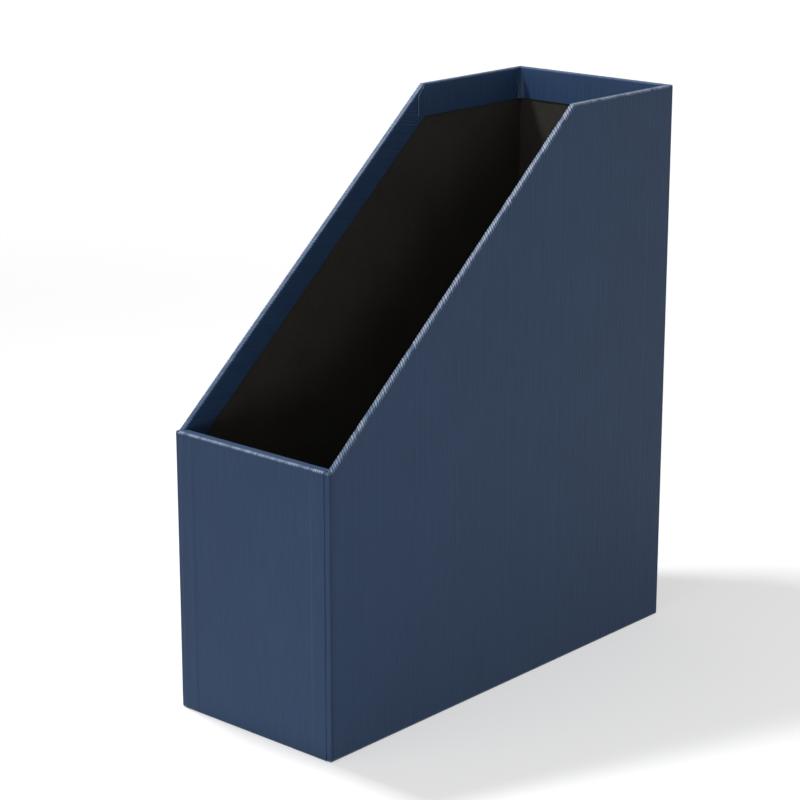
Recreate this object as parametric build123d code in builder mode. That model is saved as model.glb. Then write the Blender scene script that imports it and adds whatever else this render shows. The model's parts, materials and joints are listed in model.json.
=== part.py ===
from build123d import *
import math
import os

os.makedirs("parts", exist_ok=True)

# Magazine file: a rigid box of greyboard covered in paper, open at the top and along a slant.
# The origin is the middle of the base. +Z is up, -Y is the low front, +X is the right side.

# Outside of the finished file, in millimetres
width = 108.0
depth = 278.0
height = 310.0
front_height = 153.0
top_flat = 88.0
lip = 3.0

# Thicknesses of the boards and sheets
board = 2.5
cover = 0.3
lining = 0.2
stay = 0.15

# How far each sheet is folded over, and how far short of an edge it stops
mouth_turn = 18.0
slant_turn = 14.0
base_turn = 15.0
front_turn = 12.0
cover_margin = 3.0
stay_leg = 11.0
lining_drop = 1.0

# Rounding of the folded corners and edges
corner_radius = 1.0
mouth_radius = 0.7
board_radius = 0.4

# The slant runs from the end of the front lip up to the knee
slant_run = depth - lip - top_flat
slant_rise = height - front_height
slant_angle = math.atan2(slant_rise, slant_run)

# Faces of the layers, from the outside in, as distances from the middle of the base
side_out = width / 2
side_board_out = side_out - cover
side_board_in = side_board_out - board
side_lining_in = side_board_in - lining
side_turn_in = side_lining_in - cover

front_out = -depth / 2
front_wrap_out = front_out + cover
front_board_out = front_wrap_out + cover
front_board_in = front_board_out + board
front_inner_in = front_board_in + board
front_lining_in = front_inner_in + lining
front_turn_in = front_lining_in + cover

back_out = depth / 2
back_board_out = back_out - cover
back_board_in = back_board_out - board
back_lining_in = back_board_in - lining
back_turn_in = back_lining_in - cover

wrap_bottom = cover
board_bottom = wrap_bottom + cover
floor_top = board_bottom + board
floor_lining_top = floor_top + lining
front_board_top = front_height - cover


def side_view(front, back, base, level_drop, slant_drop):
    """Corners (y, z) of the side view. Its level top edge is lowered by level_drop, and its
    slanted edge and lip are lowered square to themselves by slant_drop."""
    lip_end = front_out + lip + slant_drop * math.tan(slant_angle / 2)
    lip_top = front_height - slant_drop
    knee_top = height - level_drop
    knee = lip_end + (knee_top - lip_top) / math.tan(slant_angle)
    if front < lip_end:
        rise = [(front, lip_top), (lip_end, lip_top)]
    else:
        rise = [(front, lip_top + (front - lip_end) * math.tan(slant_angle))]
    return [(front, base)] + rise + [(knee, knee_top), (back, knee_top), (back, base)]


def slab(left, right, front, back, base, level_drop, slant_drop):
    """A solid with the outline of the side view, from one x to another."""
    with BuildPart() as made:
        with BuildSketch(Plane.YZ.offset(left)):
            Polygon(*side_view(front, back, base, level_drop, slant_drop), align=None)
        extrude(amount=right - left)
    return made.part


def block(left, right, front, back, bottom, top):
    """A plain block between two opposite corners."""
    with BuildPart() as made:
        with BuildSketch(Plane.XY.offset(bottom)):
            with Locations(((left + right) / 2, (front + back) / 2)):
                Rectangle(right - left, back - front)
        extrude(amount=top - bottom)
    return made.part


def envelope(half_width, front, back, base, drop, corner):
    """A slab over the whole width, with its upright corners rounded."""
    with BuildPart() as made:
        add(slab(-half_width, half_width, front, back, base, drop, drop))
        fillet(made.edges().filter_by(Axis.Z), corner)
    return made.part


def save(made, name):
    """Labels a finished piece and writes it under its own name."""
    made.part.label = name
    export_step(made.part, f"parts/{name}.step")


# Floor board, between the four walls
with BuildPart() as bottom_board:
    add(block(-side_board_in, side_board_in, front_board_in, back_board_in, board_bottom, floor_top))
save(bottom_board, "bottom_board")

# Side boards, over the whole depth, with the outer upright corners eased
for side, name in ((-1, "left_board"), (1, "right_board")):
    left, right = sorted((side * side_board_out, side * side_board_in))
    with BuildPart() as side_board:
        add(slab(left, right, front_board_out, back_board_out, board_bottom, cover, cover))
        uprights = side_board.edges().filter_by(Axis.Z).group_by(Axis.X)
        fillet(uprights[-1] if side > 0 else uprights[0], corner_radius - cover)
    save(side_board, name)

# Back board and the two boards of the front wall, between the side boards
with BuildPart() as back_board:
    add(block(-side_board_in, side_board_in, back_board_in, back_board_out, board_bottom, height - cover))
    fillet(back_board.edges().filter_by(Axis.X).group_by(Axis.Z)[-1], board_radius)
save(back_board, "back_board")

half_board = side_board_in
with BuildPart() as front_board:
    add(block(-half_board, half_board, front_board_out, front_board_in, board_bottom, front_board_top))
    top_edges = front_board.edges().filter_by(Axis.X).group_by(Axis.Z)[-1]
    fillet(top_edges.sort_by(Axis.Y)[0], board_radius)
save(front_board, "front_board")

with BuildPart() as front_inner_board:
    add(block(-half_board, half_board, front_board_in, front_inner_in, floor_top, front_board_top))
    top_edges = front_inner_board.edges().filter_by(Axis.X).group_by(Axis.Z)[-1]
    fillet(top_edges.sort_by(Axis.Y)[-1], board_radius)
save(front_inner_board, "front_inner_board")

# Room that the boarded walls take up, and the same with the stays round it
walls = envelope(
    side_board_out, front_board_out, back_board_out, board_bottom, cover, corner_radius - cover
)
stayed_walls = envelope(
    side_board_out + stay,
    front_board_out - stay,
    back_board_out + stay,
    board_bottom,
    cover,
    corner_radius - cover + stay,
)

# Gummed paper stays over the joints of the boards at the four upright corners
corner_stays = []
for side, side_name in ((-1, "left"), (1, "right")):
    for end, end_name in ((-1, "front"), (1, "back")):
        end_out = front_board_out if end < 0 else back_board_out
        left, right = sorted((side * side_out, side * (side_board_out - stay_leg)))
        front, back = sorted((end * depth / 2, end_out - end * stay_leg))
        corner_zone = block(left, right, front, back, 0, height)
        with BuildPart() as corner_stay:
            add(stayed_walls)
            add(walls, mode=Mode.SUBTRACT)
            add(corner_zone, mode=Mode.INTERSECT)
        save(corner_stay, f"corner_stay_{end_name}_{side_name}")
        corner_stays.append(corner_stay.part)

# Body wrap: one sheet round the left, back and right, folded round on to the front, back
# under the base and in over the mouth
with BuildPart() as wrapped_outside:
    add(envelope(side_out, front_wrap_out, back_out, wrap_bottom, 0, corner_radius))
    top_faces = wrapped_outside.faces().filter_by(lambda face: face.normal_at().Z > 0.5)
    rim = [
        edge
        for edge in top_faces.edges()
        if abs(edge.center().X) > side_out - corner_radius or edge.center().Y > back_out - corner_radius
    ]
    fillet(rim, mouth_radius)

with BuildPart() as base_mitre:
    with BuildSketch():
        Polygon(
            (-side_out, front_out),
            (side_out, front_out),
            (side_out - base_turn, front_out + base_turn),
            (base_turn - side_out, front_out + base_turn),
            align=None,
        )
    extrude(amount=board_bottom)

mouth_strip = (-side_lining_in, side_lining_in, front_turn_in, back_lining_in, floor_top)
mouth_well = block(-side_turn_in, side_turn_in, front_turn_in, back_turn_in, floor_top, height)
over_front = block(-side_lining_in, side_lining_in, front_out, front_turn_in, front_board_top, height)
front_window = block(front_turn - side_out, side_out - front_turn, front_out, front_board_out, 0, height)
base_window = block(
    base_turn - side_out, side_out - base_turn, front_out, back_out - base_turn, 0, board_bottom
)

with BuildPart() as body_wrap:
    add(wrapped_outside.part)
    add(walls, mode=Mode.SUBTRACT)
    add(corner_stays, mode=Mode.SUBTRACT)
    add(slab(*mouth_strip, cover, cover))
    add(slab(*mouth_strip, mouth_turn, slant_turn), mode=Mode.SUBTRACT)
    add(mouth_well, mode=Mode.SUBTRACT)
    add([over_front, front_window, base_window, base_mitre.part], mode=Mode.SUBTRACT)
save(body_wrap, "body_wrap")

# Front cover: up the front face, over the top edge, down inside and back under the base.
# Between the folded ends of the body wrap it lies one sheet lower, on the board.
front_half = side_out - cover_margin
inside_end = front_height - mouth_turn
flap_end = front_out + base_turn
with BuildPart() as front_cover:
    with BuildSketch(Plane.YZ.offset(-front_half)):
        Polygon(
            (flap_end, wrap_bottom),
            (front_out, wrap_bottom),
            (front_out, front_height),
            (front_turn_in, front_height),
            (front_turn_in, inside_end),
            (front_lining_in, inside_end),
            (front_lining_in, front_board_top),
            (front_board_out, front_board_top),
            (front_board_out, board_bottom),
            (flap_end, board_bottom),
            align=None,
        )
    extrude(amount=2 * front_half)
    fillet(front_cover.edges().filter_by(Axis.X).group_by(Axis.Z)[-1], mouth_radius - cover / 2)
    add([body_wrap.part] + corner_stays, mode=Mode.SUBTRACT)
    low_half = side_out - front_turn - cover
    add(block(-low_half, low_half, front_out, front_wrap_out, 0, height), mode=Mode.SUBTRACT)
save(front_cover, "front_cover")

# Bottom cover: a plain sheet under the base, over every folded end
with BuildPart() as bottom_cover:
    with BuildSketch():
        Rectangle(width - 2 * cover_margin, depth - 2 * cover_margin)
    extrude(amount=cover)
save(bottom_cover, "bottom_cover")

# Lining papers, under the ends that fold in over the mouth
for side, name in ((-1, "left_lining"), (1, "right_lining")):
    left, right = sorted((side * side_board_in, side * side_lining_in))
    with BuildPart() as side_lining:
        add(slab(left, right, front_lining_in, back_lining_in, floor_top, lining_drop, lining_drop))
    save(side_lining, name)

back_lining_top = height - lining_drop
with BuildPart() as back_lining:
    add(block(-side_board_in, side_board_in, back_lining_in, back_board_in, floor_top, back_lining_top))
save(back_lining, "back_lining")

front_lining_top = front_height - lining_drop
with BuildPart() as front_lining:
    add(block(-side_board_in, side_board_in, front_inner_in, front_lining_in, floor_top, front_lining_top))
save(front_lining, "front_lining")

half_floor = side_lining_in
with BuildPart() as floor_lining:
    add(block(-half_floor, half_floor, front_lining_in, back_lining_in, floor_top, floor_lining_top))
save(floor_lining, "floor_lining")

slant_degrees = math.degrees(slant_angle)
print(f"slant {slant_degrees:.1f} degrees, room inside {2 * side_turn_in:.1f} wide")
print(f"and {back_turn_in - front_turn_in:.1f} deep, front wall {front_turn_in - front_out:.2f} thick")
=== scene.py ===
import json
import math

from types import SimpleNamespace

import bpy
import numpy as np
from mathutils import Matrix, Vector


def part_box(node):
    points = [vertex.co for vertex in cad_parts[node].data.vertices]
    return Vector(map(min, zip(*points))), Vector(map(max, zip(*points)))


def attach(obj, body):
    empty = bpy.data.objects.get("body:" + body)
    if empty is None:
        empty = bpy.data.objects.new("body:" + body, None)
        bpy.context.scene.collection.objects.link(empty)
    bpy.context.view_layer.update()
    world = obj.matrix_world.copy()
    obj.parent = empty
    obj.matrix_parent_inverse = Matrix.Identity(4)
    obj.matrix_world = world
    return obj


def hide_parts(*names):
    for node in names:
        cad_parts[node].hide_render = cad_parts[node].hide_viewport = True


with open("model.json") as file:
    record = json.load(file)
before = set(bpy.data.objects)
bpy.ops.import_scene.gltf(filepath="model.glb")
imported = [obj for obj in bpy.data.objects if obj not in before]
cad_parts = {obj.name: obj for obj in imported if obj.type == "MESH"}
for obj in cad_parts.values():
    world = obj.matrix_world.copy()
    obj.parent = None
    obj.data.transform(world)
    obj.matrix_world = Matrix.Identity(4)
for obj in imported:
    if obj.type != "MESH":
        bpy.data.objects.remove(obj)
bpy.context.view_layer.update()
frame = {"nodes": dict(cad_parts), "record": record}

# The sheets are laid out in millimetres and turned into metres when their meshes are made.
MM = 0.001


def cad_span(node):
    """A CAD node's lowest and highest corner, in millimetres."""
    low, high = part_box(node)
    return np.array(low) / MM, np.array(high) / MM


# Outside of the file and the places of its layers, read from the frame
wrap_low, wrap_high = cad_span("body_wrap")
side_out, back_out, height = wrap_high
wrap_front, wrap_bottom = wrap_low[1], wrap_low[2]
front_low, front_high = cad_span("front_cover")
front_out, front_half, front_height = front_low[1], front_high[0], front_high[2]
base_flap_end = front_high[1]
board_out = cad_span("right_board")[1][0]
lining_in = cad_span("right_lining")[0][0]
back_lining_in = cad_span("back_lining")[0][1]
front_lining_in = cad_span("front_lining")[1][1]
cover = side_out - board_out
side_in = lining_in - cover
back_in = back_lining_in - cover
front_in = front_lining_in + cover

# The model's own folds and turns, in millimetres, as in its driving dimensions
top_flat = 88.0
lip = 3.0
mouth_turn = 18.0
slant_turn = 14.0
base_turn = 15.0
front_turn = 12.0
corner_radius = 1.0
mouth_radius = 0.7
base_radius = 0.7

lip_end = front_out + lip
knee = back_out - top_flat
slant = math.atan2(height - front_height, knee - lip_end)
slant_sin, slant_cos = math.sin(slant), math.cos(slant)
fold_shift = mouth_radius * math.tan(slant / 2)
lip_foot = lip_end + fold_shift
knee_foot = knee + fold_shift

# Pressed ribs of the covering paper
rib_pitch = 1.39
rib_height = 0.11
rib_step = rib_pitch / 4
fold_steps = 3

# Flaps round the mouth: the level one laps over the slanted one at the knee, and the back one
# has an ear that turns each inner corner
tab_reach = 5.0
tab_drop = 6.2
ear_reach = 3.8
ear_top_cut = 0.3
ear_foot_cut = 3.0
ear_width = 4.2
ear_flare = 2.4
slit = 0.16
seam = 0.25


def wander(seed, shortest, longest, waves=9):
    """A smooth seeded drift along a line, about one high, made of sine waves."""
    draw = np.random.default_rng(seed)
    lengths = np.geomspace(shortest, longest, waves) * draw.uniform(0.9, 1.1, waves)
    turns = draw.uniform(0, 2 * math.pi, waves)
    heights = draw.uniform(0.6, 1.0, waves) * math.sqrt(2 / waves)

    def drift(place):
        place = np.asarray(place, float)[..., None]
        return (heights * np.sin(2 * math.pi * place / lengths + turns)).sum(-1)

    return drift


rib_crowding = wander(11, 6.0, 60.0)
rib_strength = wander(12, 2.9, 23.0)
rib_sway = wander(13, 90.0, 400.0)
edge_lift = wander(15, 9.0, 70.0)


def emboss(u, v):
    """How far the pressed ribs stand up where the flat sheet has the coordinates u and v."""
    phase = u / rib_pitch + 0.16 * rib_crowding(u) + 0.10 * rib_sway(v + 3 * u)
    crest = 0.5 + 0.5 * np.cos(2 * math.pi * phase)
    return rib_height * crest * (1 + 0.32 * rib_strength(u))


def smooth_step(low, high, value):
    """0 below low, 1 above high and a smooth rise between them."""
    share = np.clip((value - low) / (high - low), 0, 1)
    return share * share * (3 - 2 * share)


def unit(vectors):
    return vectors / np.linalg.norm(vectors, axis=-1, keepdims=True)


class Sheet:
    """A sheet of paper put together from grids of points, with its thickness and cut edges."""

    def __init__(self):
        self.points, self.normals, self.flat, self.quads = [], [], [], []
        self.count = 0

    def grid(self, points, normals, flat, folds=0.0, crisp=1.0):
        """Adds rows and columns of points. flat is each point's place on the unfolded sheet,
        folds is 1 where it is folded over an edge, for a pale painted highlight with a little wear
        that is strongest on the tops of its ribs, and below 0 for a painted shade in a hollow, and
        crisp is how high its ribs stand, as a share of their usual height."""
        normals = unit(normals)
        relief = emboss(flat[..., 0], flat[..., 1]) * crisp
        raised = points + normals * relief[..., None]
        crests = smooth_step(0, 1, relief / rib_height)
        # Share of painted light and wear, more on the rib tops: above 0 a highlight, below 0 a shade.
        painted_light_and_wear = np.broadcast_to(folds, relief.shape) * (0.25 + 0.75 * crests)
        flat = np.concatenate([flat, painted_light_and_wear[..., None]], -1)
        rows, columns = points.shape[:2]
        index = np.arange(rows * columns).reshape(rows, columns) + self.count
        quads = np.stack([index[:-1, :-1], index[:-1, 1:], index[1:, 1:], index[1:, :-1]], -1)
        across = points[1:, 1:] - points[:-1, :-1]
        along = points[1:, :-1] - points[:-1, 1:]
        facing = (np.cross(across, along) * normals[:-1, :-1]).sum()
        quads = quads.reshape(-1, 4)
        self.quads.append(quads[:, ::-1] if facing < 0 else quads)
        self.points.append(raised.reshape(-1, 3))
        self.normals.append(normals.reshape(-1, 3))
        self.flat.append(flat.reshape(-1, 3))
        self.count += rows * columns

    def weld(self):
        """Joins the points that lie in one place, and drops faces that have closed up."""
        points = np.concatenate(self.points)
        normals = np.concatenate(self.normals)
        flat = np.concatenate(self.flat)
        kept, group = np.unique(np.round(points, 4), axis=0, return_index=True, return_inverse=True)[1:]
        group = group.reshape(-1)
        summed = np.zeros((len(kept), 3))
        np.add.at(summed, group, normals)
        faces = []
        for quad in group[np.concatenate(self.quads)]:
            corners = [a for a, b in zip(quad, np.roll(quad, 1)) if a != b]
            if len(set(corners)) > 2:
                faces.append(corners)
        return points[kept], unit(summed), flat[kept], faces

    def mesh(self, name, thickness):
        """The closed mesh of the sheet: its face, its glued side and its cut edges."""
        points, normals, flat, faces = self.weld()
        used = np.zeros(len(points), bool)
        used[[corner for face in faces for corner in face]] = True
        renumber = np.cumsum(used) - 1
        points, normals, flat = points[used], normals[used], flat[used]
        faces = [[int(renumber[corner]) for corner in face] for face in faces]
        under = points - normals * thickness
        total = len(points)
        edges = {}
        for face in faces:
            for start, end in zip(face, face[1:] + face[:1]):
                edges[start, end] = True
        rims = [(start, end) for start, end in edges if (end, start) not in edges]
        glued = [[corner + total for corner in reversed(face)] for face in faces]
        cut = [[end, start, start + total, end + total] for start, end in rims]
        data = bpy.data.meshes.new(name)
        data.from_pydata((np.concatenate([points, under]) * MM).tolist(), [], faces + glued + cut)
        body_faces, edge_faces = 2 * len(faces), len(cut)
        data.polygons.foreach_set("use_smooth", [True] * body_faces + [False] * edge_faces)
        data.polygons.foreach_set("material_index", [0] * body_faces + [1] * edge_faces)
        laid_out = data.attributes.new("sheet", "FLOAT_VECTOR", "POINT")
        laid_out.data.foreach_set("vector", np.concatenate([flat, flat]).ravel())
        data.validate()
        return data

    def piece(self, name, thickness, finish, edge_finish):
        """The sheet as an object that rides on the file."""
        made = bpy.data.objects.new(name, self.mesh(name, thickness))
        bpy.context.scene.collection.objects.link(made)
        made.data.materials.append(finish)
        made.data.materials.append(edge_finish)
        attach(made, "root")
        return made


def mouth_rows(radius, wall, turn, fold_highlights_and_wear, flat_steps=2, turn_steps=2):
    """How the sheet runs over an edge of the mouth: out round the outer fold, across the edge,
    round the inner fold and down inside. Each row says how far it is from the outer to the
    inner foot (across), its reach into the wall from that foot, its rise and drop, what its
    normal is made of, the length of sheet used so far and how much pale painted highlight,
    with a little wear, it gets, which the three values of the fourth argument give for the
    outer fold, the edge between the folds and the inner fold."""
    rows = []
    quarter = math.pi / 2
    outer_highlight_and_wear, edge_highlight_and_wear, inner_highlight_and_wear = fold_highlights_and_wear
    for turned in np.linspace(0, quarter, fold_steps + 1):
        reach, rise = radius * (1 - math.cos(turned)), radius * math.sin(turned)
        outward, upward = math.cos(turned), math.sin(turned)
        rows.append((0, reach, rise, 0, outward, 0, upward, radius * turned, outer_highlight_and_wear))
    used = radius * quarter
    for share in np.linspace(0, 1, flat_steps + 1)[1:]:
        reach = radius * (1 - 2 * share)
        rows.append((share, reach, radius, 0, 0, 0, 1, used + share * (wall - 2 * radius), edge_highlight_and_wear))
    used += wall - 2 * radius
    for turned in np.linspace(0, quarter, fold_steps + 1)[1:]:
        reach, rise = radius * (math.sin(turned) - 1), radius * math.cos(turned)
        inward, upward = math.sin(turned), math.cos(turned)
        rows.append((1, reach, rise, 0, 0, inward, upward, used + radius * turned, inner_highlight_and_wear))
    used += radius * quarter
    fold_foot, free_edge = 0.7, turn - radius
    drops = np.append(np.linspace(fold_foot, free_edge - 0.25, turn_steps + 1), free_edge)
    for drop in drops:
        rows.append((1, 0, 0, drop, 0, 1, 0, used + drop, 0))
    names = "across reach rise drop outward inward upward used folds".split()
    return SimpleNamespace(**dict(zip(names, np.array(rows).T[..., None, None])))


def part_of(rows, count):
    """The first rows only, for a stretch that has no flap inside."""
    return SimpleNamespace(**{name: values[:count] for name, values in vars(rows).items()})


def over_edge(columns, rows):
    """Points, normals, places on the flat sheet and folds of a stretch folded over an edge."""
    outer_part = (1 - rows.across) * columns.outer
    inner_part = rows.across * columns.inner
    into = (1 - rows.across) * columns.outer_into + rows.across * columns.inner_into
    points = outer_part + inner_part + rows.reach * into
    points = points + rows.rise * columns.up + rows.drop * columns.down
    normals = rows.upward * columns.up + rows.inward * columns.inner_into
    normals = normals - rows.outward * columns.outer_into
    flat = columns.flat + rows.used * columns.away
    return points, normals, flat, rows.folds[..., 0]


def columns_of(outer, inner, outer_into, inner_into, up, down, flat, away):
    """The columns of a folded stretch, with every value spread over all of them."""
    count = len(outer)
    spread = lambda value: np.broadcast_to(np.asarray(value, float), (count, np.shape(value)[-1]))
    return SimpleNamespace(
        outer=spread(outer),
        inner=spread(inner),
        outer_into=spread(outer_into),
        inner_into=spread(inner_into),
        up=spread(up),
        down=spread(down),
        flat=spread(flat),
        away=spread(away),
    )


class Plan:
    """The line that the body wrap follows in plan, as points with their outward normals and
    their distance along the sheet."""

    def __init__(self):
        self.places, self.outward = [], []

    def straight(self, start, end, stops=()):
        """A straight run, with a point every quarter of a rib and at each stop."""
        start, end = np.array(start, float), np.array(end, float)
        length = np.linalg.norm(end - start)
        along = (end - start) / length
        places = np.linspace(0, length, round(length / rib_step) + 1)
        for stop in stops:
            places[np.abs(places - stop).argmin()] = stop
        self.places.append(start + places[:, None] * along)
        self.outward.append(np.broadcast_to([-along[1], along[0]], (len(places), 2)))

    def corner(self, centre, start_angle, steps=6):
        """A quarter turn to the right round a centre."""
        angles = math.radians(start_angle) - np.linspace(0, math.pi / 2, steps + 1)[1:-1]
        outward = np.stack([np.cos(angles), np.sin(angles)], -1)
        self.places.append(np.array(centre) + corner_radius * outward)
        self.outward.append(outward)

    def done(self):
        """Places, outward normals and distances, once every run is in."""
        places, outward = np.concatenate(self.places), np.concatenate(self.outward)
        steps = np.linalg.norm(np.diff(places, axis=0), axis=1)
        return places, outward, np.concatenate([[0], np.cumsum(steps)])


def mouth_line(along, drop=0.0):
    """Height of the mouth's edge at a place along the side, lowered square to itself."""
    sloped = front_height + (along - lip_end) * math.tan(slant) - drop / slant_cos
    return np.minimum(height - drop, np.maximum(front_height - drop, sloped))


def wrap_plan():
    """The body wrap in plan: front turn, left side, back, right side and front turn again."""
    turn_end = side_out - front_turn
    straight_front, straight_side = wrap_front + corner_radius, side_out - corner_radius
    straight_back = back_out - corner_radius
    side_stops = [place - straight_front for place in (lip_foot, knee_foot, back_in - ear_reach)]
    side_length = straight_back - straight_front
    plan = Plan()
    plan.straight((-turn_end, wrap_front), (-straight_side, wrap_front), [front_half - turn_end])
    plan.corner((-straight_side, straight_front), 270)
    plan.straight((-side_out, straight_front), (-side_out, straight_back), side_stops)
    plan.corner((-straight_side, straight_back), 180)
    plan.straight((-straight_side, back_out), (straight_side, back_out))
    plan.corner((straight_side, straight_back), 90)
    back_stops = [side_length - stop for stop in side_stops]
    plan.straight((side_out, straight_back), (side_out, straight_front), back_stops)
    plan.corner((straight_side, straight_front), 0)
    reach = straight_side - front_half
    plan.straight((straight_side, wrap_front), (turn_end, wrap_front), [reach])
    return plan.done()


def settle(places, heights):
    """How far the drawn paper stands off its board: a shallow hollow beside each front corner,
    where the sheet was pulled round it, and a slight swelling at the foot of that corner."""
    from_corner = places[:, 1] - wrap_front
    on_side = np.abs(places[:, 0]) > side_out - 0.01
    hollow = np.exp(-(((from_corner - 2.5) / 1.1) ** 2))
    rise = smooth_step(0, 1.2, from_corner) * (1 - smooth_step(5, 16, from_corner))
    drawn = (0.15 * rise - 0.22 * hollow) * (0.25 + 0.75 * smooth_step(30, 110, heights))
    swelling = np.exp(-((from_corner / 5.0) ** 2)) * (1 - smooth_step(2, 30, heights))
    return np.where(on_side, 0.22 * swelling + drawn, 0.10 * swelling)


def wrap_skin(sheet, places, outward, along_sheet):
    """The upright faces of the body wrap, from the base fold up to the mouth's fold."""
    on_front = places[:, 1] < wrap_front + corner_radius / 2
    covered = on_front & (np.abs(places[:, 0]) < front_half - rib_step / 2)
    top = np.where(on_front, front_height - mouth_radius, mouth_line(places[:, 1], mouth_radius))
    top = np.where(covered, front_height - cover - mouth_radius, top)
    bottom = wrap_bottom + base_radius
    near_base = [bottom + rise + 0 * top for rise in (0, 0.8, 5)]
    between = [bottom + 5 + share * (top - bottom - 11) for share in (0.3, 0.65)]
    near_mouth = [top - fall for fall in (6, 0.8, 0)]
    heights = np.array(near_base + between + near_mouth)
    points = np.empty(heights.shape + (3,))
    points[..., :2] = places
    points[..., 2] = heights
    normals = np.zeros_like(points)
    normals[..., :2] = outward
    stand_off = np.stack([settle(places, row) for row in heights]) * ~covered
    fade = smooth_step(0, 5, heights - bottom) * smooth_step(0, 6, top - heights)
    points = points + normals * (fade * stand_off)[..., None]
    flat = np.empty(heights.shape + (2,))
    flat[..., 0] = along_sheet
    flat[..., 1] = heights
    # The folds mask: 1 on the top and bottom rows, where the sheet turns over the mouth and the base,
    # for a pale painted highlight with a little wear; a trace of it on the rounded upright corners; and
    # below 0 for a painted shade on the side face just beside each front corner.
    in_corner = np.min(np.abs(outward), axis=1) > 0.01
    painted_shade_beside_front = np.exp(-(((places[:, 1] - wrap_front - 1.5) / 1.2) ** 2)) * (outward[:, 1] > -0.9)
    folds = np.zeros(heights.shape) + 0.15 * in_corner - 0.9 * painted_shade_beside_front
    folds[[0, -1]] = 1
    sheet.grid(points, normals, flat, folds, crisp=1 - 0.3 * fade)


def level_columns(side, places, along_sheet, start, end):
    """Columns over the level edge of one side wall, between two places along it."""
    on_side = np.abs(places[:, 0] - side * side_out) < 1e-6
    chosen = np.flatnonzero(on_side & (places[:, 1] > start - 1e-6) & (places[:, 1] < end + 1e-6))
    chosen = chosen[np.argsort(places[chosen, 1])]
    feet = np.full(len(chosen), height - mouth_radius)
    outer = np.column_stack([places[chosen], feet])
    inner = outer * [0, 1, 1] + [side * side_in, 0, 0]
    into = np.array([-side, 0, 0])
    flat = np.column_stack([along_sheet[chosen], feet])
    return columns_of(outer, inner, into, into, (0, 0, 1), (0, 0, -1), flat, (0, 1))


def lifted(points, inner_into, drops, flap_length, along):
    """Lets the free edge of a glued flap stand a very little off the lining."""
    free = smooth_step(0.7, 1.0, drops / flap_length) * (0.03 + 0.015 * edge_lift(along))
    return points + inner_into * free[..., None]


def slanted_run(side, places, along_sheet, rows):
    """The stretch over one slanted edge. Its columns follow the ribs, which cross the edge
    aslant and lie nearly level on the flap inside, and the flap is cut square at both ends."""
    on_side = np.abs(places[:, 0] - side * side_out) < 1e-6
    chosen = on_side & (places[:, 1] > lip_foot - 1e-6) & (places[:, 1] < knee_foot + 1e-6)
    feet = np.sort(places[chosen, 1])
    distance_at_lip = along_sheet[chosen][np.argmin(places[chosen, 1])]
    used = rows.used[..., 0]
    entering = math.ceil(used[-1, 0] * slant_sin / rib_step)
    starts = np.concatenate([lip_foot - rib_step * np.arange(entering, 0, -1), feet])
    along = np.clip(starts + used * slant_sin, lip_foot, knee_foot)
    foot_heights = mouth_line(along, mouth_radius)
    outer = np.stack([np.full_like(along, side * side_out), along, foot_heights], -1)
    inner = outer * [0, 1, 1] + [side * side_in, 0, 0]
    distance = distance_at_lip - side * (along - lip_foot)
    up = np.zeros_like(outer)
    up[...] = (0, -slant_sin, slant_cos)
    up[along <= lip_foot] = (0, -math.tan(slant / 2), 1)
    columns = SimpleNamespace(
        outer=outer,
        inner=inner,
        outer_into=np.array([-side, 0, 0]),
        inner_into=np.array([-side, 0, 0]),
        up=up,
        down=-up,
        flat=np.stack([distance, foot_heights], -1),
        away=np.array([side * slant_sin, slant_cos]),
    )
    return columns, over_edge(columns, rows)


def wrap_mouth(sheet, places, outward, along_sheet):
    """The body wrap's run over the mouth on both sides, with the flaps inside."""
    wall = side_out - side_in
    # Each call's three values, and each side's below, set the pale painted highlight, with a little
    # wear, on the outer fold, the edge and the inner fold.
    rows = mouth_rows(mouth_radius, wall, mouth_turn, (1.0, 0.45, 0.5))
    rim_rows = part_of(rows, 2 * fold_steps + 3)
    for side, fold_highlights_and_wear in ((-1, (0.9, 0.5, 0.45)), (1, (0.75, 0.7, 1.0))):
        slant_rows = mouth_rows(mouth_radius, wall, slant_turn, fold_highlights_and_wear)
        into = np.array([-side, 0, 0])
        sloped, (points, normals, flat, folds) = slanted_run(side, places, along_sheet, slant_rows)
        behind_front = (slant_rows.drop[..., 0] > 0) & (points[..., 2] < front_height)
        points[..., 1] = np.where(
            behind_front, np.maximum(points[..., 1], front_in + 0.05), points[..., 1]
        )
        points = lifted(points, into, slant_rows.drop[..., 0], slant_turn - mouth_radius, flat[..., 0])
        crisp = 1 + 0.6 * smooth_step(0, 3, slant_rows.drop[..., 0])
        sheet.grid(points, normals, flat, folds, crisp)

        lean = np.linspace(slant, 0, 6)[:, None]
        fan_up = np.hstack([0 * lean, -np.sin(lean), np.cos(lean)])
        fan_away = np.hstack([side * np.sin(lean), np.cos(lean)])
        knee_feet = np.repeat(sloped.outer[:1, -1], 6, 0)
        knee_inner, knee_flat = sloped.inner[0, -1], sloped.flat[0, -1]
        fan = columns_of(knee_feet, knee_inner, into, into, fan_up, -fan_up, knee_flat, fan_away)
        sheet.grid(*over_edge(fan, rim_rows))

        level = level_columns(side, places, along_sheet, knee_foot, back_in - ear_reach)
        points, normals, flat, folds = over_edge(level, rows)
        points[:, -1, 1] -= slit * (rows.across[:, 0, 0] > 0)
        points = points + into * over_slanted_flap(points, rows)[..., None]
        points = lifted(points, into, rows.drop[..., 0], mouth_turn - mouth_radius, flat[..., 0])
        sheet.grid(points, normals, flat, folds)
        knee_tab(sheet, side, level, rows)


def over_slanted_flap(points, rows):
    """How far the level flap is held off the lining by the end of the slanted flap under it."""
    along = (points[..., 1] - knee_foot) * slant_cos
    along = along + (points[..., 2] - height + mouth_radius) * slant_sin
    inside = smooth_step(0, 1.5, rows.drop[..., 0])
    return cover * inside * (1 - smooth_step(0, 6, along))


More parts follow.
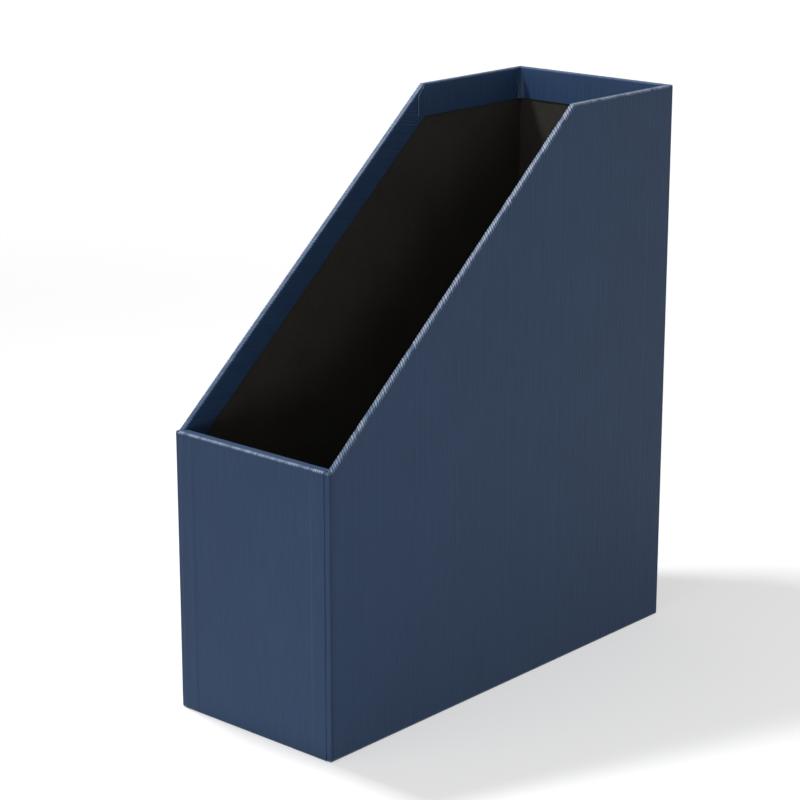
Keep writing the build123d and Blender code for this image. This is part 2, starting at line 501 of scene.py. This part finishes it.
def knee_tab(sheet, side, level, rows):
    """The front end of the level flap, which laps over the slanted one at the knee."""
    foot = level.inner[0]
    first_flap_row = int(np.argmax(rows.drop[:, 0, 0] > 0)) - 1
    drops = rows.drop[first_flap_row:, 0, 0]
    reach = np.linspace(tab_reach + fold_shift, 0, 16)
    edge_drop = (tab_drop - mouth_radius) * reach / reach[0]
    down = edge_drop + (drops / drops[-1])[:, None] * (drops[-1] - edge_drop)
    points = np.empty(down.shape + (3,))
    points[..., 0] = foot[0] - side * cover * smooth_step(0, 1.5, down + 2.0 * reach)
    points[..., 1] = foot[1] - reach
    points[..., 2] = foot[2] - down
    flat = np.empty(down.shape + (2,))
    flat[..., 0] = level.flat[0, 0] + side * reach
    flat[..., 1] = level.flat[0, 1] + rows.used[first_flap_row, 0, 0] + down
    into = np.array([-side, 0.0, 0.0])
    points = lifted(points, into, down, drops[-1], flat[..., 0])
    standing = 0.2 * smooth_step(0.55, 1.0, reach / reach[0]) * smooth_step(1.0, 3.0, down)
    points = points + into * standing[..., None]
    sheet.grid(points, np.broadcast_to(into, points.shape), flat)


def inner_corner_path(side, cut):
    """Points and facings from the ear's end on a side wall over the inner back corner, which it
    crosses in a flat fold that starts and ends at cut from the corner."""
    on_side = [(side * side_in, back_in - ear_reach), (side * side_in, back_in - cut)]
    on_back = [(side * (side_in - cut), back_in), (side * (side_in - ear_width), back_in)]
    across = np.linspace(0.04, 0.96, 5)[:, None]
    fold = (1 - across) * on_side[1] + across * on_back[0]
    places = np.vstack([on_side, fold, on_back])
    diagonal = [(side * math.sqrt(0.5), math.sqrt(0.5))] * len(fold)
    facings = -np.vstack([[(side, 0)] * 2, diagonal, [(0, 1)] * 2])
    steps = np.linalg.norm(np.diff(places, axis=0), axis=1)
    return places, facings, np.concatenate([[0], np.cumsum(steps)])


def wrap_back(sheet, places, outward, along_sheet):
    """The body wrap's run over the back edge, with an ear round each inner corner."""
    wall = back_out - back_in
    # The three values set the pale painted highlight, with a little wear, on the back edge's folds.
    rows = mouth_rows(mouth_radius, wall, mouth_turn, (1.0, 0.45, 0.4))
    flap_length = mouth_turn - mouth_radius
    foot_height = height - mouth_radius
    middle = side_in - ear_width
    behind = places[:, 1] > back_in - ear_reach - 1e-6
    chosen = np.flatnonzero(behind)
    outer = np.column_stack([places[chosen], np.full(len(chosen), foot_height)])
    inner = outer.copy()
    inner[:, 1] = back_in
    facings = np.tile([0.0, -1.0, 0.0], (len(chosen), 1))
    distance = along_sheet[chosen]
    foot = inner.copy()
    for side in (-1, 1):
        near = np.flatnonzero(side * outer[:, 0] > middle)
        if side > 0:
            near = near[::-1]
        share = np.abs(distance[near] - distance[near[0]])
        share = share / share[-1]
        for cut, places_found in ((ear_top_cut, inner), (ear_foot_cut, foot)):
            path, facing, along_path = inner_corner_path(side, cut)
            reach = share * along_path[-1]
            for axis in (0, 1):
                places_found[near, axis] = np.interp(reach, along_path, path[:, axis])
                facings[near, axis] = np.interp(reach, along_path, facing[:, axis])
    into_outer = np.column_stack([-outward[chosen], np.zeros(len(chosen))])
    flat = np.column_stack([distance, np.full(len(chosen), foot_height)])
    columns = columns_of(
        outer, inner, into_outer, unit(facings), (0, 0, 1), (0, 0, -1), flat, (0, 1)
    )
    points, normals, flat, folds = over_edge(columns, rows)
    down = rows.drop[..., 0] / flap_length
    points = points + down[..., None] * (foot - inner)
    low = smooth_step(0.86, 1.0, down)
    ear_end = smooth_step(0, 1.2, back_in - ear_reach + 1.2 - inner[:, 1])
    points[..., 1] -= ear_flare * low * ear_end
    points = lifted(points, columns.inner_into, rows.drop[..., 0], flap_length, flat[..., 0])
    # Painted highlight: the ear's diagonal facet is mixed paler, as where light catches it.
    ear_facet_highlight = np.min(np.abs(facings[:, :2]), axis=1) > 0.3
    folds = folds + 0.45 * ear_facet_highlight * smooth_step(0, 0.2, down)
    sheet.grid(points, normals, flat, folds)


def wrap_lips(sheet, places, outward, along_sheet):
    """The small level tops of the side walls at the front, each with its rounded corner."""
    # The three values set the pale painted highlight, with a little wear, on the lips' folds.
    edge = mouth_rows(mouth_radius, side_out - front_half - seam, 2.0, (0.35, 0.3, 0.3))
    rows = part_of(edge, fold_steps + 3)
    foot_height = front_height - mouth_radius
    for side in (-1, 1):
        near = (side * places[:, 0] > front_half - 1e-6) & (places[:, 1] < lip_foot + 1e-6)
        chosen = np.flatnonzero(near)
        if side > 0:
            chosen = chosen[::-1]
        outer = np.column_stack([places[chosen], np.full(len(chosen), foot_height)])
        share = np.abs(along_sheet[chosen] - along_sheet[chosen[0]])
        share = share / share[-1]
        inner = outer.copy()
        inner[:, 0] = side * (front_half + seam)
        inner[:, 1] = wrap_front + mouth_radius + share * (lip_foot - wrap_front - mouth_radius)
        into = np.column_stack([-outward[chosen], np.zeros(len(chosen))])
        up = np.tile([0.0, 0.0, 1.0], (len(chosen), 1))
        up[-1, 1] = -math.tan(slant / 2)
        flat = np.column_stack([along_sheet[chosen], outer[:, 2]])
        inner_into = np.array([-side, 0.0, 0.0])
        columns = columns_of(outer, inner, into, inner_into, up, -up, flat, (0, 1))
        sheet.grid(*over_edge(columns, rows))


def wrap_base(sheet, places, outward, along_sheet):
    """The body wrap's fold under the base, mitred at the corners."""
    on_front = places[:, 1] < wrap_front + 1e-6
    covered = on_front & (np.abs(places[:, 0]) < front_half - rib_step / 2)
    chosen = np.flatnonzero(~covered)
    quarter = np.linspace(0, math.pi / 2, 4)
    reaches = [base_radius * (1 - math.cos(turned)) for turned in quarter] + [1.6, base_turn]
    drops = [base_radius * math.sin(turned) for turned in quarter] + [base_radius] * 2
    used = [base_radius * turned for turned in quarter]
    used += [used[-1] + reach - base_radius for reach in reaches[4:]]
    down = [math.sin(turned) for turned in quarter] + [1, 1]
    points, normals, flat = [], [], []
    for reach, drop, length, facing in zip(reaches, drops, used, down):
        plan = places[chosen] - reach * outward[chosen]
        if reach > base_radius + 1e-6:
            plan[:, 0] = np.clip(plan[:, 0], reach - side_out, side_out - reach)
            plan[:, 1] = np.clip(plan[:, 1], wrap_front + reach, back_out - reach)
            beyond = on_front[chosen]
            plan[beyond, 1] = wrap_front + np.minimum(reach, side_out - np.abs(plan[beyond, 0]))
        level = wrap_bottom + base_radius - drop
        points.append(np.column_stack([plan, np.full(len(chosen), level)]))
        outside = outward[chosen] * math.sqrt(max(0, 1 - facing * facing))
        normals.append(np.column_stack([outside, np.full(len(chosen), -facing)]))
        heights = np.full(len(chosen), wrap_bottom + base_radius - length)
        flat.append(np.column_stack([along_sheet[chosen], heights]))
    points, normals, flat = np.array(points), np.array(normals), np.array(flat)
    # The fold under the base gets the pale painted highlight, with a little wear.
    base_folds = np.array([1, 1, 1, 1, 0, 0])[:, None]
    breaks = np.flatnonzero(np.diff(chosen) > 1) + 1
    for stretch in np.split(np.arange(len(chosen)), breaks):
        sheet.grid(points[:, stretch], normals[:, stretch], flat[:, stretch], base_folds)


def body_wrap_sheet(finish, edge_finish):
    """The sheet that goes round the left side, the back and the right side."""
    sheet = Sheet()
    plan = wrap_plan()
    wrap_skin(sheet, *plan)
    wrap_mouth(sheet, *plan)
    wrap_back(sheet, *plan)
    wrap_lips(sheet, *plan)
    wrap_base(sheet, *plan)
    piece = sheet.piece("body_wrap_sheet", cover, finish, edge_finish)
    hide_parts("body_wrap")
    return piece


def front_cover_sheet(finish, edge_finish):
    """The sheet over the low front: under the base, up the front, over its edge and inside."""
    sheet = Sheet()
    columns = np.linspace(-front_half, front_half, round(2 * front_half / rib_step) + 1)
    wall = front_in - front_out
    # The three values set the pale painted highlight, with a little wear, on the front's top edge
    # folds.
    rows = mouth_rows(mouth_radius, wall, mouth_turn, (1.0, 0.25, 0.25), flat_steps=4)
    foot_height = front_height - mouth_radius
    count = len(columns)
    outer = np.column_stack([columns, np.full(count, front_out), np.full(count, foot_height)])
    inner = outer + [0, wall, 0]
    into = (0, 1, 0)
    start = 1000.0
    flat = np.column_stack([start + columns, np.full(count, foot_height)])
    over = columns_of(outer, inner, into, into, (0, 0, 1), (0, 0, -1), flat, (0, 1))
    points, normals, places, folds = over_edge(over, rows)
    points = lifted(points, np.array([0, 1.0, 0]), rows.drop[..., 0], mouth_turn, places[..., 0])
    inside = smooth_step(lip_end - 0.3, lip_end + 0.3, points[..., 1])
    points[..., 0] *= 1 - inside * (front_half - side_in + 0.05) / front_half

    bottom = wrap_bottom + base_radius
    quarter = np.linspace(math.pi / 2, 0, 4)
    lower = [(base_flap_end, wrap_bottom, 1.0)]
    lower += [(front_out + 1.6, wrap_bottom, 1.0)]
    for turned in quarter:
        reach, drop = base_radius * (1 - math.cos(turned)), base_radius * math.sin(turned)
        lower.append((front_out + reach, bottom - drop, math.sin(turned)))
    lower += [(front_out, bottom + rise, 0.0) for rise in (0.8, 6, 14, 45, 95, 138, 146, 150.6)]
    lower_points = np.array([[(x, y, z) for x in columns] for y, z, _ in lower])
    facing = np.array([[(0, -math.sqrt(1 - d * d), -d)] * count for _, _, d in lower])
    heights = np.array([z - (y - front_out) * d for y, z, d in lower])
    lower_flat = np.empty((len(lower), count, 2))
    lower_flat[..., 0] = start + columns
    lower_flat[..., 1] = heights[:, None]
    points = np.concatenate([lower_points, points])
    normals = np.concatenate([facing, normals])
    places = np.concatenate([lower_flat, places])
    # The base fold gets the pale painted highlight, with a little wear.
    lower_folds = np.array([[d > 0 and y < front_out + 1] for y, _, d in lower], float)
    folds = np.concatenate([lower_folds, folds])

    # Off the folded ends of the body wrap the sheet lies lower, on the board, and its cut
    # edges are pressed down
    from_edge = front_half - np.abs(columns)
    wrap_reach = front_turn - (side_out - front_half)
    on_face = smooth_step(bottom, bottom + 5, points[..., 2])
    on_face = on_face * (1 - smooth_step(foot_height - 6, foot_height, points[..., 2]))
    on_face = on_face * (points[..., 1] < front_out + 0.05)
    sink = 0.26 * smooth_step(wrap_reach - 0.6, wrap_reach + 1.4, from_edge)
    pressed = 0.12 * (1 - smooth_step(0, 0.7, from_edge))
    points[..., 1] += on_face * (sink + pressed)
    sheet.grid(points, normals, places, folds, crisp=1 - 0.3 * on_face)
    piece = sheet.piece("front_cover_sheet", cover, finish, edge_finish)
    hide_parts("front_cover")
    return piece


def bottom_cover_sheet(finish, edge_finish):
    """The plain sheet under the base, with its face down."""
    low, high = cad_span("bottom_cover")
    sheet = Sheet()
    columns = np.linspace(low[0], high[0], round((high[0] - low[0]) / rib_step) + 1)
    rows = np.linspace(low[1], high[1], 6)
    points = np.empty((len(rows), len(columns), 3))
    points[..., 0] = columns
    points[..., 1] = rows[:, None]
    points[..., 2] = low[2] + rib_height * 1.7
    flat = points[..., :2] + [2000.0, 0]
    sheet.grid(points, np.broadcast_to([0.0, 0, -1], points.shape), flat)
    piece = sheet.piece("bottom_cover_sheet", high[2] - low[2], finish, edge_finish)
    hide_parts("bottom_cover")
    return piece


class Value:
    """A value in a material's nodes, so that its maths reads as plain sums."""

    def __init__(self, finish, socket):
        self.finish, self.socket = finish, socket

    def maths(self, operation, *inputs, clamp=False):
        settings = {"operation": operation, "use_clamp": clamp}
        return self.finish.node("ShaderNodeMath", settings, *inputs)

    def __add__(self, other):
        return self.maths("ADD", self, other)

    def __sub__(self, other):
        return self.maths("SUBTRACT", self, other)

    def __rsub__(self, other):
        return self.maths("SUBTRACT", other, self)

    def __mul__(self, other):
        return self.maths("MULTIPLY", self, other)

    def __truediv__(self, other):
        return self.maths("DIVIDE", self, other)

    def __pow__(self, other):
        return self.maths("POWER", self, other)

    __radd__ = __add__
    __rmul__ = __mul__

    def sine(self):
        return self.maths("SINE", self)

    def between(self, low, high):
        """0 below low, 1 above high and a smooth rise between them."""
        settings = {"interpolation_type": "SMOOTHSTEP", "clamp": True}
        return self.finish.node("ShaderNodeMapRange", settings, Value=self, From_Min=low, From_Max=high)


class Finish:
    """A material under construction."""

    def __init__(self, name, world=None):
        owner = world or bpy.data.materials.new(name)
        owner.use_nodes = True
        self.owner, self.tree = owner, owner.node_tree
        self.tree.nodes.clear()

    def node(self, kind, settings=None, *inputs, output=0, **named):
        """Adds a node, sets it up, fills its sockets in order or by name, and gives an output."""
        made = self.tree.nodes.new(kind)
        for key, value in (settings or {}).items():
            setattr(made, key, value)
        filled = list(enumerate(inputs)) + [(k.replace("_", " "), v) for k, v in named.items()]
        for key, value in filled:
            if isinstance(value, Value):
                self.tree.links.new(value.socket, made.inputs[key])
            elif value is not None:
                made.inputs[key].default_value = value
        return Value(self, made.outputs[output] if made.outputs else None)

    def place(self, attribute=None):
        """Where the surface is, in millimetres: on the flat sheet, or in the file's own frame."""
        if attribute:
            return self.node("ShaderNodeAttribute", {"attribute_name": attribute}, output="Vector")
        metres = self.node("ShaderNodeTexCoord", {}, output="Object")
        return self.stretch(metres, (1 / MM, 1 / MM, 1 / MM))

    def stretch(self, vector, factors):
        """A vector with each of its parts multiplied by its own factor."""
        return self.node("ShaderNodeVectorMath", {"operation": "MULTIPLY"}, vector, factors)

    def parts(self, vector):
        """The x, y and z of a vector."""
        made = self.node("ShaderNodeSeparateXYZ", {}, vector).socket.node
        return [Value(self, made.outputs[axis]) for axis in "XYZ"]

    def grain(self, vector, factors, detail=2.0, roughness=0.5, size=1.0):
        """Soft noise from 0 to 1 in a stretched space."""
        moved = self.stretch(vector, factors)
        return self.node(
            "ShaderNodeTexNoise", {"noise_dimensions": "3D"}, Vector=moved, Scale=size,
            Detail=detail, Roughness=roughness,
        )

    def mix(self, share, first, second):
        """A colour between two others."""
        unused = [None] * 5
        return self.node(
            "ShaderNodeMix", {"data_type": "RGBA"}, share, *unused, first, second, output=2
        )

    def relief(self, height, distance, strength=1.0, below=None):
        """A bump whose height is in millimetres."""
        return self.node(
            "ShaderNodeBump", {}, Strength=strength, Distance=distance * MM, Height=height,
            Normal=below,
        )

    def looked_at(self):
        """1 where the camera sees the surface, also by reflection, and 0 for its light on others."""
        kinds = ("Is Camera Ray", "Is Glossy Ray", "Is Transmission Ray")
        rays = [self.node("ShaderNodeLightPath", {}, output=kind) for kind in kinds]
        return (rays[0] + rays[1] + rays[2]).between(0, 1)

    def surface(self, **sockets):
        """Ends the material in a shader with these sockets."""
        shader = self.node("ShaderNodeBsdfPrincipled", {}, **sockets)
        self.node("ShaderNodeOutputMaterial", {}, Surface=shader)
        return self.owner


def colour(red, green, blue):
    """A colour given as it shows on screen, from 0 to 255, for a shader."""
    parts = [value / 255 for value in (red, green, blue)]
    linear = [v / 12.92 if v <= 0.04045 else ((v + 0.055) / 1.055) ** 2.4 for v in parts]
    return (*linear, 1.0)


def navy_cover_paper():
    """Dark blue covering paper with pressed ribs, fine threads between them and a satin coat,
    smoother where it is folded over an edge, which also gets a pale painted highlight with a
    little wear, and with a painted shade beside the front corners."""
    paper = Finish("navy_cover_paper")
    flat = paper.place("sheet")
    across, along, folded = paper.parts(flat)
    streaks = paper.grain(flat, (0.85, 0.045, 0), detail=3.0, roughness=0.60)
    threads = paper.grain(flat, (2.4, 0.11, 0), detail=2.0)
    clouds = paper.grain(flat, (0.035, 0.03, 0), detail=3.0)
    specks = paper.grain(flat, (2.6, 2.2, 0), detail=2.0, roughness=0.6)
    shade = 0.46 * streaks + 0.26 * threads + 0.18 * clouds + 0.10 * specks
    base = paper.mix(shade.between(0.32, 0.68), colour(37, 59, 90), colour(45, 69, 101))
    # Painted highlight with a little wear: the folds mask, broken up by noise, mixes the base toward a
    # pale grey-blue on folded edges.
    highlight_and_wear_noise = paper.grain(flat, (0.9, 0.5, 0), detail=3.0, roughness=0.65)
    painted_light_and_wear = folded * (0.28 + 0.9 * highlight_and_wear_noise)
    base = paper.mix(painted_light_and_wear.between(0.15, 1.0), base, colour(174, 188, 206))
    # Painted shade: where the folds mask is below 0, on the side face just beside each front corner,
    # the base is mixed toward a deep navy.
    hollow = (0 - folded).between(0.0, 0.9)
    base = paper.mix(hollow, base, colour(20, 33, 58))
    warp = (across * (2 * math.pi / 0.46) + 3.0 * threads).sine()
    weft = (along * (2 * math.pi / 0.52) + 4.0 * specks).sine()
    height_of_weave = 0.30 * warp + 0.16 * weft + 0.8 * streaks + 0.8 * threads + 0.5 * specks
    normal = paper.relief(height_of_weave, 0.012)
    gloss = 0.44 + 0.10 * specks + 0.04 * streaks - 0.12 * folded
    return paper.surface(
        Base_Color=base, Roughness=gloss, Normal=normal, Specular_IOR_Level=0.22
    )


def cut_paper_edge(name, worn, fresh):
    """The cut edge of the covering paper, with fibres between a worn and a fresh colour."""
    edge = Finish(name)
    flat = edge.place("sheet")
    fibres = edge.grain(flat, (1.7, 1.7, 0), detail=3.0, roughness=0.65)
    base = edge.mix(fibres.between(0.3, 0.7), worn, fresh)
    normal = edge.relief(fibres, 0.02)
    return edge.surface(Base_Color=base, Roughness=0.8, Normal=normal, Specular_IOR_Level=0.25)


def dark_lining_paper():
    """Near-black warm lining paper with a dull, slightly fibrous face."""
    paper = Finish("dark_lining_paper")
    place = paper.place()
    clouds = paper.grain(place, (0.03, 0.03, 0.03), detail=3.0)
    fibres = paper.grain(place, (0.9, 0.9, 0.35), detail=4.0, roughness=0.7)
    dust = paper.grain(place, (1.6, 1.6, 1.6), detail=1.0).between(0.74, 0.80)
    shade = 0.6 * fibres + 0.4 * clouds
    base = paper.mix(shade.between(0.35, 0.65), colour(41, 39, 35), colour(52, 50, 45))
    base = paper.mix(0.35 * dust, base, colour(92, 88, 80))
    normal = paper.relief(fibres, 0.03)
    roughness = 0.78 + 0.12 * fibres
    return paper.surface(
        Base_Color=base, Roughness=roughness, Normal=normal, Specular_IOR_Level=0.2
    )


def grey_board():
    """Plain greyboard of recycled pulp, with flecks."""
    board = Finish("grey_board")
    place = board.place()
    pulp = board.grain(place, (0.5, 0.5, 0.5), detail=5.0, roughness=0.7)
    flecks = board.grain(place, (1.3, 0.4, 0.5), detail=2.0).between(0.66, 0.72)
    base = board.mix(pulp.between(0.3, 0.7), colour(146, 139, 126), colour(172, 165, 151))
    base = board.mix(0.6 * flecks, base, colour(96, 90, 84))
    normal = board.relief(pulp, 0.05)
    return board.surface(Base_Color=base, Roughness=0.9, Normal=normal, Specular_IOR_Level=0.2)


def kraft_stay_paper():
    """Brown gummed kraft paper of the corner stays."""
    kraft = Finish("kraft_stay_paper")
    place = kraft.place()
    laid = kraft.grain(place, (1.1, 1.1, 0.12), detail=3.0)
    pulp = kraft.grain(place, (0.4, 0.4, 0.4), detail=4.0, roughness=0.65)
    shade = 0.5 * laid + 0.5 * pulp
    base = kraft.mix(shade.between(0.3, 0.7), colour(158, 124, 84), colour(186, 152, 108))
    normal = kraft.relief(laid, 0.03)
    return kraft.surface(Base_Color=base, Roughness=0.7, Normal=normal, Specular_IOR_Level=0.3)


def dress_cad_nodes(finishes):
    """Gives each CAD node that stays in place the finish of its slot."""
    for entry in frame["record"]["subparts"]:
        data = frame["nodes"][entry["node"]].data
        finish = finishes[entry["material_slot"]]
        data.materials.clear()
        data.materials.append(finish)


def white_floor(lamp_place):
    """A wide white floor that fills the camera's view and takes the file's shadow. It shows
    whiter away from the lamp, so that the background stays white where the lamp is weak."""
    radius, rings, spokes = 14.0, 6, 64
    points = [(0.0, 0.0, 0.0)]
    for ring in range(1, rings + 1):
        for spoke in range(spokes):
            angle = 2 * math.pi * spoke / spokes
            reach = radius * (ring / rings) ** 2
            points.append((reach * math.cos(angle), reach * math.sin(angle), 0.0))
    faces = [(0, 1 + spoke, 1 + (spoke + 1) % spokes) for spoke in range(spokes)]
    for ring in range(rings - 1):
        first = 1 + ring * spokes
        for spoke in range(spokes):
            after = (spoke + 1) % spokes
            faces.append(
                (first + spoke, first + spokes + spoke, first + spokes + after, first + after)
            )
    data = bpy.data.meshes.new("studio_floor")
    data.from_pydata(points, [], faces)
    floor = bpy.data.objects.new("studio_floor", data)
    bpy.context.scene.collection.objects.link(floor)
    white = Finish("studio_white")
    east, north, _ = white.parts(white.node("ShaderNodeTexCoord", {}, output="Object"))
    from_lamp = ((east - lamp_place[0]) ** 2.0 + (north - lamp_place[1]) ** 2.0) ** 0.5
    near, far, black = (0.53, 0.53, 0.53, 1), (0.84, 0.84, 0.84, 1), (0, 0, 0, 1)
    glow = white.mix(from_lamp.between(0.3, 1.5), near, far)
    white_material = white.surface(
        Base_Color=(0.55, 0.55, 0.55, 1), Roughness=1.0, Specular_IOR_Level=0.0,
        Emission_Color=white.mix(white.looked_at(), black, glow), Emission_Strength=1.0,
    )
    data.materials.append(white_material)


def studio_world():
    """White surroundings: dim all round, with a brighter wall low down on the right."""
    world = bpy.data.worlds.new("studio")
    bpy.context.scene.world = world
    sky = Finish("studio", world=world)
    direction = sky.node("ShaderNodeTexCoord", {}, output="Generated")
    east, north, rise = sky.parts(direction)
    towards_wall = 0.71 * east + 0.71 * north
    wall = towards_wall.between(0.15, 0.85) * (1 - rise.between(0.25, 0.65))
    light = sky.mix(wall, (0.25, 0.25, 0.25, 1), (0.50, 0.50, 0.50, 1))
    seen = sky.node("ShaderNodeLightPath", {}, output="Is Camera Ray")
    mirrored = sky.node("ShaderNodeLightPath", {}, output="Is Glossy Ray")
    through = sky.node("ShaderNodeLightPath", {}, output="Is Transmission Ray")
    white_share = (seen + mirrored + through).between(0, 1)
    shown = sky.mix(white_share, light, (1, 1, 1, 1))
    background = sky.node("ShaderNodeBackground", {}, Color=shown, Strength=1.0)
    sky.node("ShaderNodeOutputWorld", {}, Surface=background)


def sun(name, towards, strength, spread):
    """A soft far lamp. towards is the direction from the file to the lamp."""
    lamp = bpy.data.lights.new(name, "SUN")
    lamp.energy, lamp.angle = strength, math.radians(spread)
    made = bpy.data.objects.new(name, lamp)
    bpy.context.scene.collection.objects.link(made)
    made.rotation_euler = Vector(towards).to_track_quat("Z", "Y").to_euler()


def lamp_near(name, place, aimed_at, watts, size):
    """A square lamp near the file, in metres and watts."""
    lamp = bpy.data.lights.new(name, "AREA")
    lamp.energy, lamp.size = watts, size
    made = bpy.data.objects.new(name, lamp)
    bpy.context.scene.collection.objects.link(made)
    made.location = place
    away = Vector(place) - Vector(aimed_at)
    made.rotation_euler = away.to_track_quat("Z", "Y").to_euler()


def photo_camera():
    """The camera at the photograph's angle, fitted to the corners of the file in its frame."""
    photo_width = 800
    focal_pixels = 2423.7
    turned, tilted = 41.674, 16.219
    data = bpy.data.cameras.new("photo_camera")
    data.lens = data.sensor_width * focal_pixels / photo_width
    camera = bpy.data.objects.new("photo_camera", data)
    camera.location = (0.8229, -0.9504, 0.5153)
    camera.rotation_euler = (math.radians(90 - tilted), 0, math.radians(turned))
    bpy.context.scene.collection.objects.link(camera)
    bpy.context.scene.camera = camera


photo_camera()
navy = navy_cover_paper()
pale_edge = cut_paper_edge("pale_cut_edge", colour(104, 119, 144), colour(150, 162, 183))
dark_edge = cut_paper_edge("dark_cut_edge", colour(26, 37, 56), colour(44, 58, 84))
body_wrap_sheet(navy, pale_edge)
front_cover_sheet(navy, dark_edge)
bottom_cover_sheet(navy, dark_edge)
dress_cad_nodes(
    {
        "cover_paper": navy,
        "lining_paper": dark_lining_paper(),
        "greyboard": grey_board(),
        "stay_paper": kraft_stay_paper(),
    }
)
key_place = (-0.343, -0.105, 0.98)
white_floor(key_place)
studio_world()
sun("front_softbox", (-0.15, -0.85, 0.35), 0.8, 60)
lamp_near("key", key_place, (0.0, 0.0, 0.10), 8.0, 0.10)
lamp_near("camera_side_fill", (0.75, -0.85, 0.12), (0.0, 0.0, 0.15), 2.3, 0.2)

bpy.context.scene.view_settings.view_transform = "Standard"
